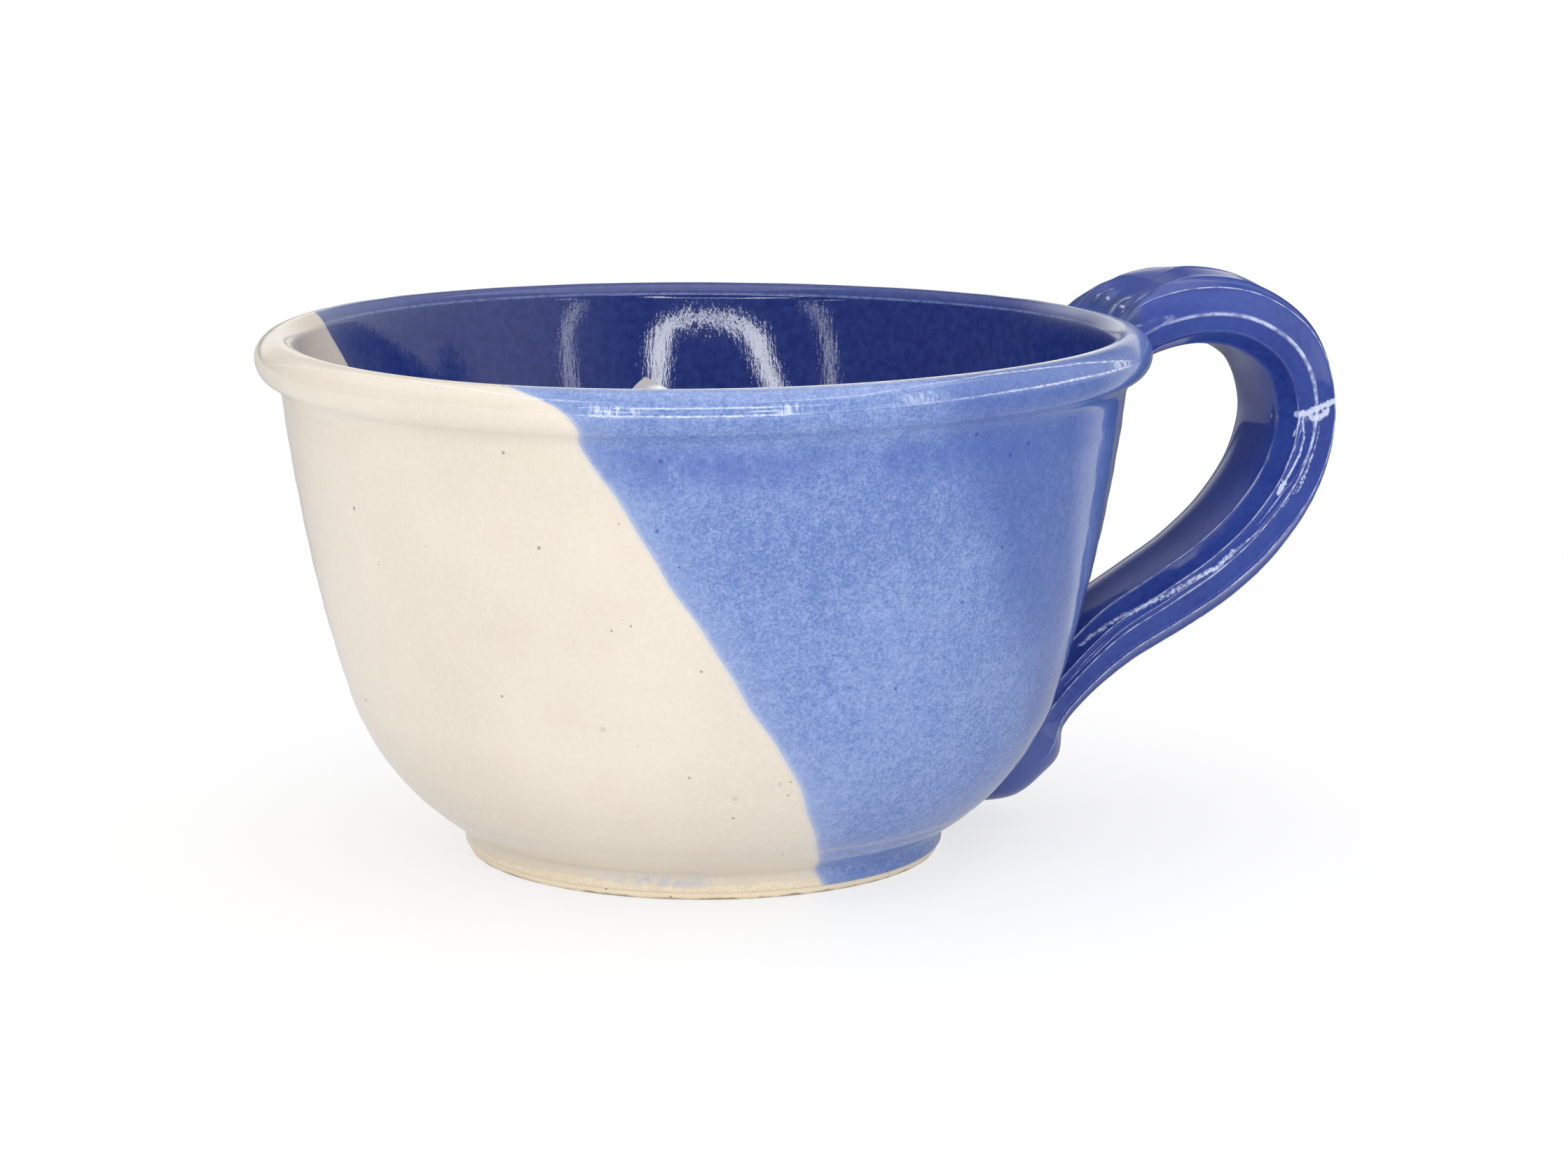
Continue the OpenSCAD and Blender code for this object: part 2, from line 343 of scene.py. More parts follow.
class Paint(Shading):
    """A material being drawn up, with its Principled shader. Patterns lie on the object's coordinates."""

    MIX_FACTOR, MIX_A, MIX_B, MIXED = 0, 6, 7, 2   # numbers of a Mix node's sockets for colour

    def __init__(self, name, **constants):
        self.mat = bpy.data.materials.new(name)
        self.mat.use_nodes = True
        super().__init__(self.mat.node_tree)
        self.shader = self.tree.nodes["Principled BSDF"]
        self.set(**constants)
        self.place = self.node("ShaderNodeTexCoord", "Object")

    def set(self, **values):
        for key, v in values.items():
            self.plug(self.shader.inputs[key.replace("_", " ")], v)
        return self.mat

    def field(self, name):
        """A point value that the piece carries."""
        return self.node("ShaderNodeAttribute", "Fac", {"attribute_name": name})

    def noise(self, per_mm, detail=3.0, rough=0.5, shift=None, stretch=(1, 1, 1)):
        """Smooth noise around a half, per_mm of its waves to the millimetre."""
        place = self.place
        if shift is not None:
            mapped = {"Vector": place, "Location": shift, "Scale": stretch}
            place = self.node("ShaderNodeMapping", sockets=mapped)
        sockets = {"Vector": place, "Scale": per_mm * METRE, "Detail": detail, "Roughness": rough}
        return self.node("ShaderNodeTexNoise", "Fac", sockets=sockets)

    def threads(self, per_mm, width):
        """1 along thin wandering threads, where a noise passes its middle value."""
        n = self.noise(per_mm, 3.0, 0.6, shift=(0.7, 0.3, 0.5)) - 0.5
        return 1.0 - n.math("ABSOLUTE").ramp(0.0, width)

    def spots(self, per_mm, size, soft=False):
        """1 inside small round spots of up to size, which is a share of their spacing."""
        holding = 0.20   # the share of the cells that hold a spot
        sockets = {"Vector": self.place, "Scale": per_mm * METRE}
        far = self.node("ShaderNodeTexVoronoi", "Distance", sockets=sockets)
        pick = self.node("ShaderNodeSeparateColor", "Red", sockets={"Color": far.beside("Color")})
        edge = ((pick - (1 - holding)) * (size / holding)).math("MAXIMUM", 0.0)
        if soft:
            return 1.0 - (far - edge).ramp(-0.6 * size, 0.0)
        return far.math("LESS_THAN", edge)

    def glint(self):
        """1 along the painted highlight lines of the lip, which break up and fade here and there, and in its
        painted highlight patches."""
        ragged = self.noise(2.6, 3.0, 0.6, shift=(0.6, 0.2, 0.1))
        jag = (ragged - 0.5) * 0.42
        breaks = self.noise(0.9, 3.0, 0.6, shift=(0.6, 0.2, 0.1)).ramp(0.34, 0.60) * 0.7 + 0.3
        lines = None
        for name in ("upper", "middle", "lower"):
            shine = self.field(name + "_shine")
            off = (self.field(name) + jag).math("ABSOLUTE")
            line = (1.0 - off.ramp(0.03, shine * 0.13 + 0.10)) * shine
            lines = line if lines is None else lines.math("MAXIMUM", line)
        patch_noise = self.noise(1.7, 3.0, 0.7, shift=(0.1, 0.7, 0.2), stretch=(1, 1, 0.3)).ramp(0.42, 0.62)
        return (lines * breaks).math("MAXIMUM", patch_noise * self.field("highlight_patches"))

    def mix(self, factor, a, b):
        """The colour a, drawn towards b by the factor."""
        sockets = {self.MIX_FACTOR: factor, self.MIX_A: a, self.MIX_B: b}
        return self.node("ShaderNodeMix", self.MIXED, {"data_type": "RGBA"}, sockets)

    def bump(self, height, depth_mm):
        """Raises the surface by the height, a share of the depth."""
        sockets = {"Distance": depth_mm * MM, "Height": height}
        self.set(Normal=self.node("ShaderNodeBump", "Normal", sockets=sockets))


# Clay and glazes

BUFF = (0.80, 0.68, 0.50)
PALE_BUFF = (0.88, 0.78, 0.61)
BUFF_SAND = (0.86, 0.78, 0.64)
DARK_BOTTOM_EDGE = (0.25, 0.16, 0.09)
IRON = (0.20, 0.12, 0.07)
CREAM = (0.690, 0.622, 0.528)
LIGHT_CREAM = (0.738, 0.668, 0.570)
MILKY = (0.775, 0.720, 0.640)
ROSY = (0.69, 0.585, 0.50)
THIN_CREAM = (0.74, 0.64, 0.49)
RUST = (0.62, 0.47, 0.32)
DARK_SAND = (0.76, 0.64, 0.46)
LIGHT_SAND = (0.88, 0.78, 0.62)
BLUE_SMEAR = (0.45, 0.50, 0.62)
CREAM_EDGE = (0.50, 0.54, 0.66)
CREAM_SHINE = (0.96, 0.95, 0.93)
SPECK = (0.22, 0.18, 0.17)
FAINT_SPECK = (0.45, 0.34, 0.26)
SUNK_SPECK = (0.42, 0.38, 0.38)


def bare_clay():
    """Unglazed stoneware: pale buff, darker along the very bottom edge, sandy, with iron specks."""
    m = Paint("bare_clay", Roughness=0.72)
    tone = m.mix(m.noise(0.12), BUFF, PALE_BUFF)
    grain = m.noise(2.2, 4.0)
    tone = m.mix(grain.ramp(0.56, 0.72) * 0.30, tone, BUFF_SAND)
    # darker within about half a millimetre of the foot's bottom edge, raggedly
    height = m.parts(m.place)[2] + (m.noise(0.35, 3.0) - 0.5) * 0.0012
    tone = m.mix((1.0 - height.ramp(0.00008, 0.00045)) * 0.75, tone, DARK_BOTTOM_EDGE)
    tone = m.mix(m.spots(0.9, 0.22) * 0.7, tone, IRON)
    m.bump(grain, 0.12)
    return m.set(Base_Color=tone)


def cream_glaze():
    """Cream glaze: warm, broadly clouded, a little sandy, with fine iron specks; it thins to the clay's buff
    at the foot, where it carries a faint blue smear."""
    m = Paint("cream_glaze", Roughness=0.10, Coat_Weight=0.0)
    tone = m.mix(m.noise(0.030, 2.0).ramp(0.35, 0.65), CREAM, LIGHT_CREAM)
    tone = m.mix(m.noise(1.3, 4.0, 0.6).ramp(0.42, 0.70) * 0.35, tone, MILKY)
    tone = m.mix(m.noise(0.16, 3.0, 0.5, shift=(0.2, 0.5, 0.1)).ramp(0.52, 0.74) * 0.25, tone, ROSY)
    low = m.field("low")
    tone = m.mix(low * 0.55, tone, THIN_CREAM)
    tone = m.mix(low * m.noise(1.4, 3.0).ramp(0.5, 0.66) * 0.30, tone, RUST)
    sand = m.mix(m.noise(2.4, 3.0, 0.6).ramp(0.35, 0.70), DARK_SAND, LIGHT_SAND)
    tone = m.mix((m.field("bare") + (m.noise(0.8, 3.0) - 0.5) * 0.5).ramp(0.3, 0.7) * 0.85, tone, sand)
    smear = m.field("smear") * m.noise(0.55, 4.0, 0.65, shift=(0.1, 0.0, 0.4)).ramp(0.40, 0.60)
    tone = m.mix(smear * 0.75, tone, BLUE_SMEAR)
    ragged = m.field("edge") + m.noise(1.1, 3.0, 0.6) * 0.9 - 0.45
    tone = m.mix((1.0 - ragged.ramp(0.0, 0.75)) * 0.55, tone, CREAM_EDGE)
    # painted highlights: the lip's pale lines and patches, near white
    tone = m.mix(m.glint() * 0.85, tone, CREAM_SHINE)
    tone = m.mix(m.spots(0.44, 0.145) * 0.72, tone, SPECK)
    tone = m.mix(m.spots(1.30, 0.22) * 0.26, tone, FAINT_SPECK)
    tone = m.mix(m.spots(0.17, 0.12, soft=True) * 0.45, tone, SUNK_SPECK)
    m.bump(m.noise(0.30, 2.0) * 0.8 + m.noise(1.7, 2.0) * 0.2, 0.018)
    return m.set(Base_Color=tone)


BLUE = (0.105, 0.182, 0.445)
LIGHT_BLUE = (0.248, 0.340, 0.618)
BLUE_THREAD = (0.42, 0.50, 0.74)
TWICE_BLUE = (0.054, 0.104, 0.345)
TWICE_LIGHT = (0.110, 0.172, 0.450)
HANDLE_POOL_AND_SHADE_BLUE = (0.022, 0.050, 0.270)
THIN_BLUE = (0.320, 0.405, 0.640)
NECK_POOL_AND_SHADE_BLUE = (0.075, 0.130, 0.420)
TRIM_GREY = (0.46, 0.43, 0.50)
COBALT_SPOT = (0.03, 0.04, 0.25)
BLUE_EDGE = (0.47, 0.51, 0.64)
BLUE_SHINE = (0.68, 0.74, 0.90)
INNER_SHINE = (0.20, 0.26, 0.50)
DEEP_BLUE = (0.012, 0.026, 0.162)
DEEP_LIGHT = (0.024, 0.045, 0.220)
PALE_BLUE = (0.30, 0.35, 0.50)
CREST_HIGHLIGHT = (0.92, 0.90, 0.86)
LIP_END_REFLECTION_GREY = (0.47, 0.50, 0.62)


def blue_glaze():
    """Blue glaze on the bowl: outside a pale blue, softly mottled and crazed with paler threads, paler still
    where it thins at the dip line and the lip, and darker and smoother where it was dipped twice; inside a
    deep cobalt."""
    m = Paint("blue_glaze")
    soft = m.noise(0.75, 4.0, 0.62)
    fine = m.noise(2.3, 3.0, 0.6, shift=(0.2, 0.2, 0.0))
    cloud = m.noise(0.055, 3.0, 0.5, shift=(0.3, 0.1, 0.2))
    twice, deep = m.field("twice"), m.field("deep")
    # fall: paler low down towards the front, where the glaze ran, and darker low down towards the right as
    # painted shade
    mottle = (soft - 0.5) * 0.8 + (fine - 0.5) * 1.3 + (cloud - 0.5) * 0.6 + m.field("fall") * 0.16 - 0.06
    mottle = mottle * (1.0 - twice * 0.25) + 0.5
    tone = m.mix(mottle.ramp(0.12, 0.88), BLUE, LIGHT_BLUE)
    threads = m.threads(1.15, 0.026) * m.noise(0.2, 2.0).ramp(0.35, 0.55)
    tone = m.mix(threads * (1.0 - twice * 0.8) * 0.42, tone, BLUE_THREAD)
    tone = m.mix(twice * 0.74, tone, m.mix(mottle.ramp(0.1, 0.9), TWICE_BLUE, TWICE_LIGHT))
    # darker beside the handle: partly pooled glaze, partly painted shade
    tone = m.mix(m.field("handle_pool_and_shade") * 0.85, tone, HANDLE_POOL_AND_SHADE_BLUE)
    tone = m.mix(m.field("thin") * 0.55, tone, THIN_BLUE)
    # darker blotched band under the lip: partly pooled glaze, partly painted shade in the neck
    blotch = m.noise(0.16, 3.0, 0.6, shift=(0.5, 0.2, 0.3)).ramp(0.35, 0.65)
    tone = m.mix(m.field("neck") * (0.20 + blotch * 0.45), tone, NECK_POOL_AND_SHADE_BLUE)
    tone = m.mix(m.field("trim") * 0.55, tone, TRIM_GREY)
    tone = m.mix(m.spots(0.32, 0.13) * 0.60, tone, COBALT_SPOT)
    ragged = m.field("edge") + m.noise(1.1, 3.0, 0.6) * 0.9 - 0.45
    tone = m.mix((1.0 - ragged.ramp(-0.2, 0.9)) * 0.75, tone, BLUE_EDGE)
    # painted highlights: the lip's pale lines and patches, pale blue
    tone = m.mix(m.glint() * 0.85, tone, BLUE_SHINE)
    # noise that breaks up the painted highlights inside the lip and along the crest
    patchy = m.noise(0.9, 3.0, 0.6, shift=(0.3, 0.2, 0.1)).ramp(0.35, 0.60) * 0.6 + 0.4
    # painted highlight: a thin pale line just inside the lip
    inner = (1.0 - m.field("inner").math("ABSOLUTE").ramp(0.05, 0.30)) * patchy * 0.6
    inside = m.mix(inner, m.mix(soft.ramp(0.3, 0.7), DEEP_BLUE, DEEP_LIGHT), INNER_SHINE)
    tone = m.mix(deep, tone, inside)
    tone = m.mix(m.field("pale") * 0.75, tone, PALE_BLUE)
    # painted highlight: a pale line along the lip's crest at the front
    tone = m.mix(m.field("crest") * (patchy * 0.5 + 0.5) * 0.9, tone, CREST_HIGHLIGHT)
    # painted reflection: the lip's top paler and greyer beside the handle
    tone = m.mix(m.field("lip_end_reflection") * 0.60, tone, LIP_END_REFLECTION_GREY)
    drawn = m.noise(1.8, 3.0, 0.60, shift=(0, 0, 0), stretch=(1, 1, 0.13))
    swell = m.noise(0.30, 2.0) * (1.0 - deep) + m.noise(1.7, 2.0) * (1.0 - deep) * 0.16
    m.bump(swell + drawn * deep * 0.80, 0.018)
    return m.set(Base_Color=tone, Roughness=0.090 - deep * 0.055)


COBALT = (0.015, 0.035, 0.228)
COBALT_LIGHT = (0.028, 0.056, 0.290)
COBALT_FLECK = (0.050, 0.088, 0.335)
TAIL_BLUE = (0.11, 0.15, 0.36)
CREASE_SHADE_GREY = (0.040, 0.062, 0.130)
RIDGE_SHINE = (0.62, 0.69, 0.90)
PALE_STREAK_HIGHLIGHT = (0.66, 0.72, 0.92)


def cobalt_glaze():
    """Blue glaze on the handle: cobalt, with painted highlights along the ridges, where the glaze also
    thins; pale streaks and patches of painted highlight, partly glaze thinned by wear; darker and greyer in
    the crease where the root meets the lip, painted shade there with some pooled glaze; and paler at the
    tail.
    """
    m = Paint("cobalt_glaze", Roughness=0.09)
    tone = m.mix(m.noise(0.07, 2.0).ramp(0.3, 0.7), COBALT, COBALT_LIGHT)
    tone = m.mix((m.noise(0.9, 4.0, 0.6) - 0.5) * 1.2 + 0.3, tone, COBALT_FLECK)
    tone = m.mix(m.field("foot") * 0.5, tone, TAIL_BLUE)
    # darker and greyer in the crease where the root meets the lip: painted shade, partly pooled glaze
    tone = m.mix(m.field("pool_and_crease_shade") * 0.55, tone, CREASE_SHADE_GREY)
    # painted highlights: pale lines along the ridges, where the glaze also thins
    breaks = m.noise(0.55, 3.0, 0.6, shift=(0.4, 0.1, 0.3)).ramp(0.36, 0.60)
    ridge = (1.0 - m.field("ridge").ramp(0.03, 0.22)) * m.field("shown")
    tone = m.mix(ridge * (0.30 + breaks * 0.70) * 0.85, tone, RIDGE_SHINE)
    # pale streaks and patches: painted highlights, partly glaze thinned by wear
    patchy = m.field("rubbed_and_highlit")
    pale_streaks = (patchy + (m.noise(1.8, 4.0, 0.65, shift=(0.2, 0.6, 0.1)) - 0.5) * 1.3).ramp(0.34, 0.74)
    tone = m.mix(pale_streaks * patchy.ramp(0.02, 0.30) * 0.85, tone, PALE_STREAK_HIGHLIGHT)
    m.bump(m.noise(0.35, 2.0) * 0.7 + m.noise(1.7, 2.0) * 0.3, 0.020)
    return m.set(Base_Color=tone)


# The dip line

DIP_DIR = math.pi + math.radians(5.5)   # the way round the axis that the dip's plane rises
DIP_RISE = math.tan(math.radians(57.3))   # its slope
DIP_Z = 6.3   # its height on the axis
ACROSS_DIP = 0.86   # the dip line leans, so a length round the bowl counts for less across it
TWICE_DIR, TWICE_Z = math.radians(36), 68.3   # the second dip's plane, in the photograph's directions
# How far the dip line wanders sideways as it goes over the lip, against height
LIP_WANDER = ((60, 64, 68.2, 71.6, 73, 74.3, 75.3, 76.0, 76.5),
              (0, -0.2, -0.7, -1.2, -1.1, -0.5, 1.0, 2.4, 3.6))


def dip_half_angle(line, side):
    """Half the angle round the axis that stays cream at each point of a line, on one side of the dip's
    direction (+1 is counter-clockwise). It is where the dip's plane cuts that level, worn wavy by a fraction
    of a millimetre."""
    r, z = line[:, 0], line[:, 1]
    c = np.clip((z - DIP_Z) / (DIP_RISE * np.maximum(r, 0.05)), -1, 1)
    s = length_along(line)
    wave = 0.34 * np.sin(s / 7.3 + side) + 0.22 * np.sin(s / 3.1 + 2 * side) + 0.10 * np.sin(s / 1.4)
    lip = np.interp(z, *LIP_WANDER) * (side > 0)
    return np.arccos(c) - (wave + lip) / np.maximum(r, 12) * np.clip(r / 12, 0, 1)


# The painted highlight lines of the lip, in degrees up its arc against degrees from the camera's side of the
# photograph
UPPER_LINE = ((0, 9, 15, 20, 28, 38, 46, 55, 64, 70, 80), (33, 33, 35, 39, 55, 67, 64, 55, 36, 20, 16))
LOWER_LINE = ((0, 10, 20, 28, 40, 53, 70, 80), (2, 2, 5, 8, 14, 17, 14, 12))
MIDDLE_LINE, INNER_LINE = 20, 22
# How brightly each shines, against degrees to the photograph's right of its camera's side
UPPER_SHINE = ((-80, -26, -14, -11, 6, 10, 22, 34, 40, 66, 70),
               (0.35, 0.50, 0.50, 0.12, 0.12, 0.32, 0.45, 0.50, 0.95, 1.0, 0))
MIDDLE_SHINE = ((-9, -6, 10, 12), (0, 0.7, 0.7, 0))
LOWER_SHINE = ((-80, -30, -14, -12, 11, 14, 22, 27, 38, 44, 66, 70),
               (0.10, 0.20, 0.25, 1.0, 1.0, 0.25, 0.25, 0.5, 0.6, 1.0, 1.0, 0))
# Where the lip's painted highlight patches begin and end, and how strong each is
LIP_HIGHLIGHT_PATCHES = (((-13, -11), (-8, -5), 0.9), ((9, 10), (11.5, 13), 0.9),
        ((24, 26), (28, 32), 0.5), ((61, 64), (67, 69), 0.9))
FAR_OFF = 9.0   # a distance in mm at which no line shows


def lip_fields(ahead, r, z, outside, inside):
    """The lip's painted highlight lines as distances in mm along its arc, how brightly each shines, and the
    painted highlight patches between the two outer lines, which are held under a slanting limit."""
    side = np.abs(ahead)
    lean = np.degrees(np.arctan2(z - LIP_C[1], r - LIP_C[0]))
    lean_in = np.degrees(np.arctan2(z - LIP_IN_C[1], LIP_IN_C[0] - r))
    on_lip = step(z, 70.5, 71.5) * outside
    upper, lower = np.interp(side, *UPPER_LINE), np.interp(side, *LOWER_LINE)
    top = np.minimum(upper, 20 + side / 2)
    highlight_patches = sum(between(ahead, rise, fall) * strong for rise, fall, strong in LIP_HIGHLIGHT_PATCHES)
    per_degree = LIP_R * math.pi / 180
    return {"upper": np.where(on_lip > 0.5, (lean - upper) * per_degree, FAR_OFF),
            "middle": np.where(on_lip > 0.5, (lean - MIDDLE_LINE) * per_degree, FAR_OFF),
            "lower": np.where(on_lip > 0.5, (lean - lower) * per_degree, FAR_OFF),
            "inner": np.where(inside, (lean_in - INNER_LINE) * LIP_IN_R * math.pi / 180, FAR_OFF),
            "upper_shine": np.interp(ahead, *UPPER_SHINE),
            "middle_shine": np.interp(ahead, *MIDDLE_SHINE),
            "lower_shine": np.interp(ahead, *LOWER_SHINE),
            "highlight_patches": highlight_patches * between(lean, (lower - 3, lower + 3), (top - 3, top + 3)) * on_lip}


def coat_fields(turn, ahead, r, z, past, to_line):
    """What the glazes read at each point of a coat: past is the way along the line from the crest of the
    lip, inside it more than nothing, and to_line the way round to the dip line. deep is the inside; thin and
    edge lie along the dip line; twice is the second dip, above a tilted plane with runs at its edge; beside
    the handle the glaze is darker, partly pooled glaze and partly painted shade; neck, trim, low, bare and
    smear are bands from the lip to the foot, the neck's band being pooled glaze with painted shade under the
    lip; pale is a paler band on the lip by the dip line towards the back; crest is a painted highlight along
    the lip's crest at the front, and the lip's top beside the handle carries a painted reflection; fall is
    paler low down towards the front, where the glaze ran down, and darker low down towards the right as
    painted shade."""
    side = np.abs(ahead)
    outside = past < 0
    runs = 1.6 * np.sin(9 * turn) + 1.1 * np.sin(23 * turn + 1) + 0.8 * np.sin(47 * turn + 2)
    over_twice = z + 1.8 * r * np.cos(turn + HANDLE_TURN - TWICE_DIR) - TWICE_Z
    sandy_top = 0.25 * np.sin(7 * turn)
    return {"deep": step(past + 3.4 * step(side, 95, 150), -0.4, 1.5),
            "thin": np.clip(np.exp(-to_line / 2.6) + 0.10 * bell(past, -2.6, 2.2), 0, 1) * outside,
            "edge": to_line,
            "twice": step(over_twice + runs, -13, 9) * outside,
            "handle_pool_and_shade": between(ahead, (77, 80), (125, 150)) * (1 - step(z, 70, 73)) * outside,
            "neck": bell(z, 65.8, 3.4) * outside,
            "trim": bell(z, TRIM_H, 0.22) * outside,
            "low": (1 - step(z, 1.4, 4.2)) * outside,
            "bare": (1 - step(z, 1.7 + sandy_top, 2.9 + sandy_top)) * outside,
            "smear": bell(z, 2.9, 0.9) * bell(ahead, -8.5, 12) * outside,
            "pale": np.exp(-to_line / 13) * bell(past, 0, 3.6) * step(side, 85, 110)
                    + 0.25 * np.exp(-to_line / 4) * step(past, 2, 4),
            "crest": bell(past, 0.10, 0.75) * (1 - step(side, 62, 78)),
            "lip_end_reflection": bell(past, 0.60, 2.2) * between(ahead, (66, 88), (112, 132)),
            "fall": (1 - step(z, 5, 66)) * (1 - 1.6 * step(ahead, 20, 62))}


def glaze_pieces(cream, blue):
    """The two coats: the bowl's line swept from one side of the dip line to the other, the short way for the
    cream and the handle's way for the blue, so that their edges meet point for point."""
    line = bowl_line(0.0)
    after, before = dip_half_angle(line, 1), dip_half_angle(line, -1)
    s = length_along(line)
    past = (s - s[int(np.argmax(line[:, 1]))])[:, None]
    r, z = line[:, :1], line[:, 1:]
    made = []
    for name, mat, start, end, cols in (
            ("cream_glaze_coat", cream, DIP_DIR - before, DIP_DIR + after, 230),
            ("blue_glaze_coat", blue, DIP_DIR + after, DIP_DIR + FULL - before, 300)):
        start, end = start[:, None], end[:, None]
        turn = start + (end - start) * np.linspace(0, 1, cols)
        to_line = np.minimum(turn - start, end - turn) * np.maximum(r, 6) * ACROSS_DIP
        ahead = np.degrees(np.mod(turn + HANDLE_TURN + 1.5 * math.pi, FULL)) - 180
        fields = coat_fields(turn, ahead, r, z, past, to_line) | lip_fields(ahead, r, z, past < 0, past > 0)
        made.append(piece(name, thrown(line, turn), mat, pole=True, fields=fields))
    return made


def clay_piece(mat):
    """The clay under the coats, the bowl's line less the coat turned full circle, with the bare foot ring
    and the turned recess that show."""
    line = bowl_line(COAT_T, 0.9)
    cols = 256
    turn = np.zeros((len(line), 1)) + np.linspace(0, FULL, cols + 1)[:-1]
    return piece("stoneware_body", thrown(line, turn), mat, ring=True, pole=True)


# The handle

# Its line from the root under the lip to the tail: shares of the standing out, and of the arch's height
OUT_SHARES = np.array([-0.263, -0.133, 0.104, 0.387, 0.674, 0.908, 1.0, 0.942, 0.775, 0.555, 0.306, 0.055,
                       -0.156, -0.298, -0.392, -0.514, -0.647])
RISE_SHARES = np.array([0.835, 0.898, 0.970, 1.0, 0.983, 0.911, 0.793, 0.672, 0.566, 0.484, 0.421, 0.361,
                        0.287, 0.226, 0.172, 0.115, 0.082])
WIDTH_SHARES = np.array([1.10, 1.08, 1.0, 0.99, 0.97, 0.95, 0.93, 0.92, 0.90, 0.88, 0.86, 0.83,
                         0.82, 0.86, 0.92, 0.88, 0.58])
THICK_SHARES = np.array([1.07, 1.03, 1.0, 0.98, 0.97, 0.97, 0.97, 0.98, 0.99, 0.99, 0.96, 0.90,
                         0.79, 0.80, 1.17, 0.94, 0.56])
STAND_OUT, ARCH_H = 32.6, RIM_H + 0.7
SPINE = np.stack([CREST_R + STAND_OUT * OUT_SHARES, ARCH_H * RISE_SHARES], 1)
STRAP_WIDE, STRAP_THICK = 22.4, 11.7
WIDTH, THICK = STRAP_WIDE * WIDTH_SHARES, STRAP_THICK * THICK_SHARES
SQUARE = 0.78   # power of the section's oval: 1 is an ellipse, less is squarer
ROWS, COLS_PER_FLUTE = 345, 24
RIDGES = np.array([-56, -25, -6, 19, 50, 90, 130, 161, 186, 205, 228, 304])   # degrees round the section
# Depth of the hollows between the ridges
FLUTES = np.array([0.36, 0.30, 0.42, 0.42, 0.32, 0.32, 0.42, 0.42, 0.30, 0.36, 0.12])
BEAD, BEAD_WIDE = 0.12, 1.3   # relief of the bead along each ridge in mm, and its half width in degrees
ROOT_END = 4   # the root ends at this point of the line
# Top of the root against the distance from the bowl's axis: it dives under the lip just inside the crest
ROOT_TOP = ((56, 60, 62, 63, 63.8, 65, 67, 70, 74, 80),
            (69.0, 73.0, 75.6, 76.6, 77.5, 78.5, 79.7, 81.2, 82.5, 86))
# Finger marks on the root: a place and how high the pushed clay stands round it
PRESSED = ((64.8, 3.0, 78.3, 0.85), (64.0, -4.6, 77.8, 0.80),
           (66.6, -8.6, 78.0, 0.45), (66.4, 7.4, 78.6, 0.45))
# Least distance from the axis against height: inside the bowl's wall, short of its hollow
DEEPEST = ((0, 24.5, 40, 60, 70, 73, 90), (30, 49.6, 54.2, 58.6, 60.6, 61.4, 61.4))
SUNK = 1.35   # how far into the wall the handle may go
FILLET = 2.0
# Pale streaks and patches on the handle, painted highlights and partly glaze thinned by wear: strokes
# through places in mm, each with its width and strength
RUBBED_AND_HIGHLIT = (
    (((91.2, -9.4, 61.1), (93.0, -10.1, 61.3), (93.9, -10.5, 61.9), (95.1, -10.1, 62.2), (97.6, -8.9, 62.7)),
     0.55, 1.0),
    (((93.5, -10.3, 60.6), (94.6, -10.2, 60.5), (96.4, -9.6, 61.4)), 0.75, 0.85),
    (((91.6, -9.7, 60.4), (91.2, -9.6, 58.9), (90.9, -9.3, 57.9)), 0.28, 0.7),
    (((92.1, -9.8, 60.4), (92.3, -9.9, 57.5), (91.7, -9.9, 55.1), (90.5, -9.7, 52.6), (89.4, -9.6, 50.7),
      (88.5, -9.5, 49.1)), 0.24, 0.8),
    (((92.0, -9.7, 58.9), (90.7, -9.7, 55.5), (89.4, -9.4, 52.6), (88.9, -9.5, 50.2)), 0.20, 0.55),
    (((89.4, -9.6, 50.7), (88.5, -9.5, 49.1), (88.9, -9.5, 50.2)), 0.42, 0.9),
    (((94.8, -10.2, 59.3), (94.2, -10.2, 56.4), (93.2, -10.1, 53.5), (92.3, -10.0, 50.7),
      (91.3, -9.9, 49.2)), 0.30, 0.6),
    (((93.6, -10.3, 59.4), (93.5, -10.5, 57.5), (92.6, -10.4, 54.6)), 0.30, 0.5),
    (((89.1, -5.4, 60.3), (89.1, -5.4, 60.4)), 0.30, 0.9),
    (((93.4, -10.4, 55.9), (92.9, -10.2, 53.2), (91.7, -10.1, 50.6), (89.8, -10.0, 48.0),
      (87.2, -10.0, 45.2), (84.4, -9.8, 42.9), (81.2, -9.5, 40.7)), 0.26, 0.50),
    (((81.2, -9.5, 40.7), (78.7, -9.5, 38.4), (75.1, -9.2, 36.8), (70.7, -9.0, 34.6), (66.3, -8.9, 32.9),
      (62.8, -8.1, 31.1), (59.3, -7.4, 28.8), (57.3, -7.0, 27.4)), 0.60, 0.62),
    (((64.3, 5.0, 78.1), (65.0, 5.3, 78.7), (65.2, 3.2, 78.7), (64.2, 0.1, 78.3), (63.7, 0.5, 77.8)),
     0.24, 0.85),
    (((63.8, -1.9, 77.5), (64.3, -2.3, 78.0), (63.8, -5.3, 78.1), (63.5, -7.1, 77.7), (63.1, -6.7, 77.3)),
     0.24, 0.85))


